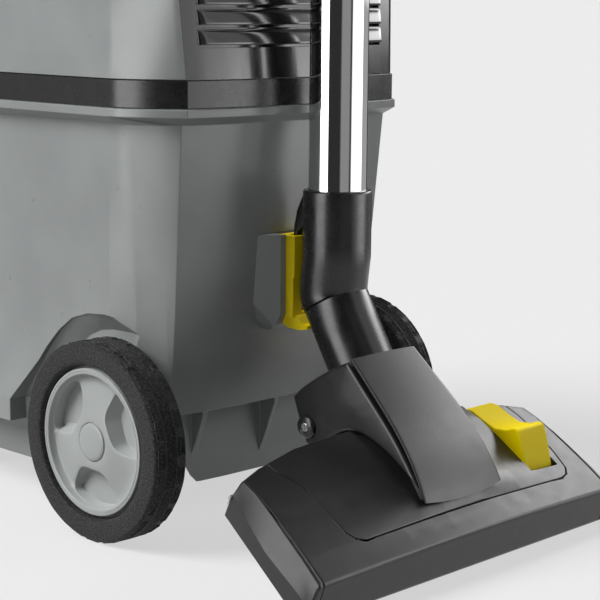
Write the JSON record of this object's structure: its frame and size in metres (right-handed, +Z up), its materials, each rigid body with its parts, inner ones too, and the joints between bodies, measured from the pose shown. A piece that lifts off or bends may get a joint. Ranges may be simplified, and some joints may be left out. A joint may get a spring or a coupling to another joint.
{
  "type": "canister vacuum cleaner",
  "caption": "Commercial tub vacuum cleaner on wheels, its chromed suction tube and pedal floor nozzle parked on a clip at its rear.",
  "frame": {"origin": "on the floor, below the middle of the whole object's box", "axes": "+Z up, +Y the way the machine drives, so its rear with the tube and the nozzle faces -Y; +X its right side"},
  "size_m": [0.275, 0.5062, 1.35],
  "materials": {
    "grey_plastic": "satin mid-grey moulding with a fine grain",
    "pale_plastic": "satin light-grey moulding",
    "black_plastic": "satin black moulding",
    "gloss_black": "polished black moulding",
    "dark_plastic": "matte black moulding with a spark-eroded grain",
    "yellow_plastic": "bright yellow moulding",
    "tyre": "soft black rubber, lightly worn",
    "rubber": "matte black rubber",
    "chrome": "polished chrome plating",
    "steel": "plain steel",
    "fleece": "pale filter fleece",
    "bristle": "dense black bristle"
  },
  "bodies": {
    "machine": {"tub": "grey_plastic", "tub_seal": "rubber", "filter_basket": "dark_plastic", "filter_bag": "fleece", "inlet_socket": "black_plastic", "parking_bracket": "grey_plastic", "parking_clip": "yellow_plastic", "rear_axle": "steel", "axle_bush_left": "dark_plastic", "axle_bush_right": "dark_plastic"},
    "wheel_left": {"tyre_left": "tyre", "wheel_hub_left": "pale_plastic", "wheel_cap_left": "pale_plastic"},
    "wheel_right": {"tyre_right": "tyre", "wheel_hub_right": "pale_plastic", "wheel_cap_right": "pale_plastic"},
    "caster_left": {"caster_fork_left": "black_plastic"},
    "caster_right": {"caster_fork_right": "black_plastic"},
    "caster_roll_left": {"caster_wheel_left": "dark_plastic"},
    "caster_roll_right": {"caster_wheel_right": "dark_plastic"},
    "head": {"head_base": "black_plastic", "side_cover_left": "grey_plastic", "side_cover_right": "grey_plastic", "rear_panel": "gloss_black", "front_panel": "gloss_black", "top_cover": "grey_plastic", "button_spring": "steel", "switch_block": "dark_plastic", "motor_housing": "dark_plastic", "motor_seal": "rubber", "exhaust_filter": "fleece", "cable_gland": "black_plastic"},
    "fan": {"rotor": "steel", "impeller": "steel"},
    "handle": {"carry_handle": "black_plastic"},
    "button": {"power_button": "yellow_plastic"},
    "catch_left": {"latch_left": "black_plastic"},
    "catch_right": {"latch_right": "black_plastic"},
    "wand": {"upper_elbow": "black_plastic", "lower_tube": "chrome", "tube_sleeve": "black_plastic", "upper_tube": "chrome", "hand_piece": "black_plastic"},
    "slider": {"air_slider": "dark_plastic"},
    "swivel": {"lower_elbow": "black_plastic", "neck": "dark_plastic", "neck_cover": "dark_plastic", "pivot_screw_left": "black_plastic", "pivot_screw_right": "black_plastic"},
    "nozzle": {"nozzle_body": "dark_plastic", "nozzle_cover": "dark_plastic", "end_cap_left": "dark_plastic", "end_cap_right": "dark_plastic", "sole_plate": "steel"},
    "sole_roller_left": {"roller_left": "rubber"},
    "sole_roller_right": {"roller_right": "rubber"},
    "rocker": {"pedal": "yellow_plastic"},
    "brush": {"brush_carrier": "dark_plastic", "brush_strip_rear": "bristle", "brush_strip_front": "bristle"}
  },
  "joints": [
    {"name": "wheel_left_roll", "type": "hinge", "parent": "machine", "child": "wheel_left", "pos_m": [-0.113, -0.05349, 0.0615], "axis": [1, 0, 0], "continuous": true},
    {"name": "wheel_right_roll", "type": "hinge", "parent": "machine", "child": "wheel_right", "pos_m": [0.113, -0.05349, 0.0615], "axis": [1, 0, 0], "continuous": true},
    {"name": "caster_left_swivel", "type": "hinge", "parent": "machine", "child": "caster_left", "pos_m": [-0.072, 0.17611, 0.046], "axis": [0, 0, 1], "continuous": true},
    {"name": "caster_right_swivel", "type": "hinge", "parent": "machine", "child": "caster_right", "pos_m": [0.072, 0.17611, 0.046], "axis": [0, 0, 1], "continuous": true},
    {"name": "caster_left_roll", "type": "hinge", "parent": "caster_left", "child": "caster_roll_left", "pos_m": [-0.072, 0.16211, 0.02], "axis": [1, 0, 0], "continuous": true},
    {"name": "caster_right_roll", "type": "hinge", "parent": "caster_right", "child": "caster_roll_right", "pos_m": [0.072, 0.16211, 0.02], "axis": [1, 0, 0], "continuous": true},
    {"name": "head_lift", "type": "slide", "parent": "machine", "child": "head", "axis": [0, 0, 1], "range_m": [0, 0.12]},
    {"name": "fan_spin", "type": "hinge", "parent": "head", "child": "fan", "pos_m": [0, 0.07011, 0.32], "axis": [0, 0, 1], "continuous": true},
    {"name": "handle_fold", "type": "hinge", "parent": "head", "child": "handle", "pos_m": [0, 0.12011, 0.3865], "axis": [-1, 0, 0], "range_deg": [0, 100]},
    {"name": "button_press", "type": "slide", "parent": "head", "child": "button", "axis": [0, 0, -1], "range_m": [0, 0.004], "stiffness_N_per_m": 800, "springref_m": -0.001, "deforming": ["button_spring"]},
    {"name": "latch_left_open", "type": "hinge", "parent": "machine", "child": "catch_left", "pos_m": [-0.1132, 0.11011, 0.232], "axis": [0, -1, 0], "range_deg": [0, 40]},
    {"name": "latch_right_open", "type": "hinge", "parent": "machine", "child": "catch_right", "pos_m": [0.1132, 0.11011, 0.232], "axis": [0, 1, 0], "range_deg": [0, 40]},
    {"name": "wand_lift", "type": "slide", "parent": "machine", "child": "wand", "axis": [0, 0, 1], "range_m": [0, 0.05]},
    {"name": "air_slider_slide", "type": "slide", "parent": "wand", "child": "slider", "axis": [0, 0.5736, 0.8192], "range_m": [0, 0.012]},
    {"name": "neck_swivel", "type": "hinge", "parent": "wand", "child": "swivel", "pos_m": [0, -0.13725, 0.14368], "axis": [0, -0.515, -0.8572], "range_deg": [-20, 20]},
    {"name": "nozzle_tilt", "type": "hinge", "parent": "swivel", "child": "nozzle", "pos_m": [0, -0.14259, 0.0712], "axis": [1, 0, 0], "range_deg": [0, 25]},
    {"name": "roller_left_roll", "type": "hinge", "parent": "nozzle", "child": "sole_roller_left", "pos_m": [-0.0825, -0.17597, 0.04916], "axis": [1, 0, 0], "continuous": true},
    {"name": "roller_right_roll", "type": "hinge", "parent": "nozzle", "child": "sole_roller_right", "pos_m": [0.0825, -0.17597, 0.04916], "axis": [1, 0, 0], "continuous": true},
    {"name": "pedal_rock", "type": "hinge", "parent": "nozzle", "child": "rocker", "pos_m": [0.08825, -0.18802, 0.05302], "axis": [1, 0, 0], "range_deg": [0, 12]},
    {"name": "brush_shift", "type": "slide", "parent": "nozzle", "child": "brush", "axis": [0, 0.5446, -0.8387], "range_m": [0, 0.0045]}
  ],
  "couplings": [
    {"joint": "brush_shift", "follows": "pedal_rock", "m_per_rad": 0.0214}
  ]
}
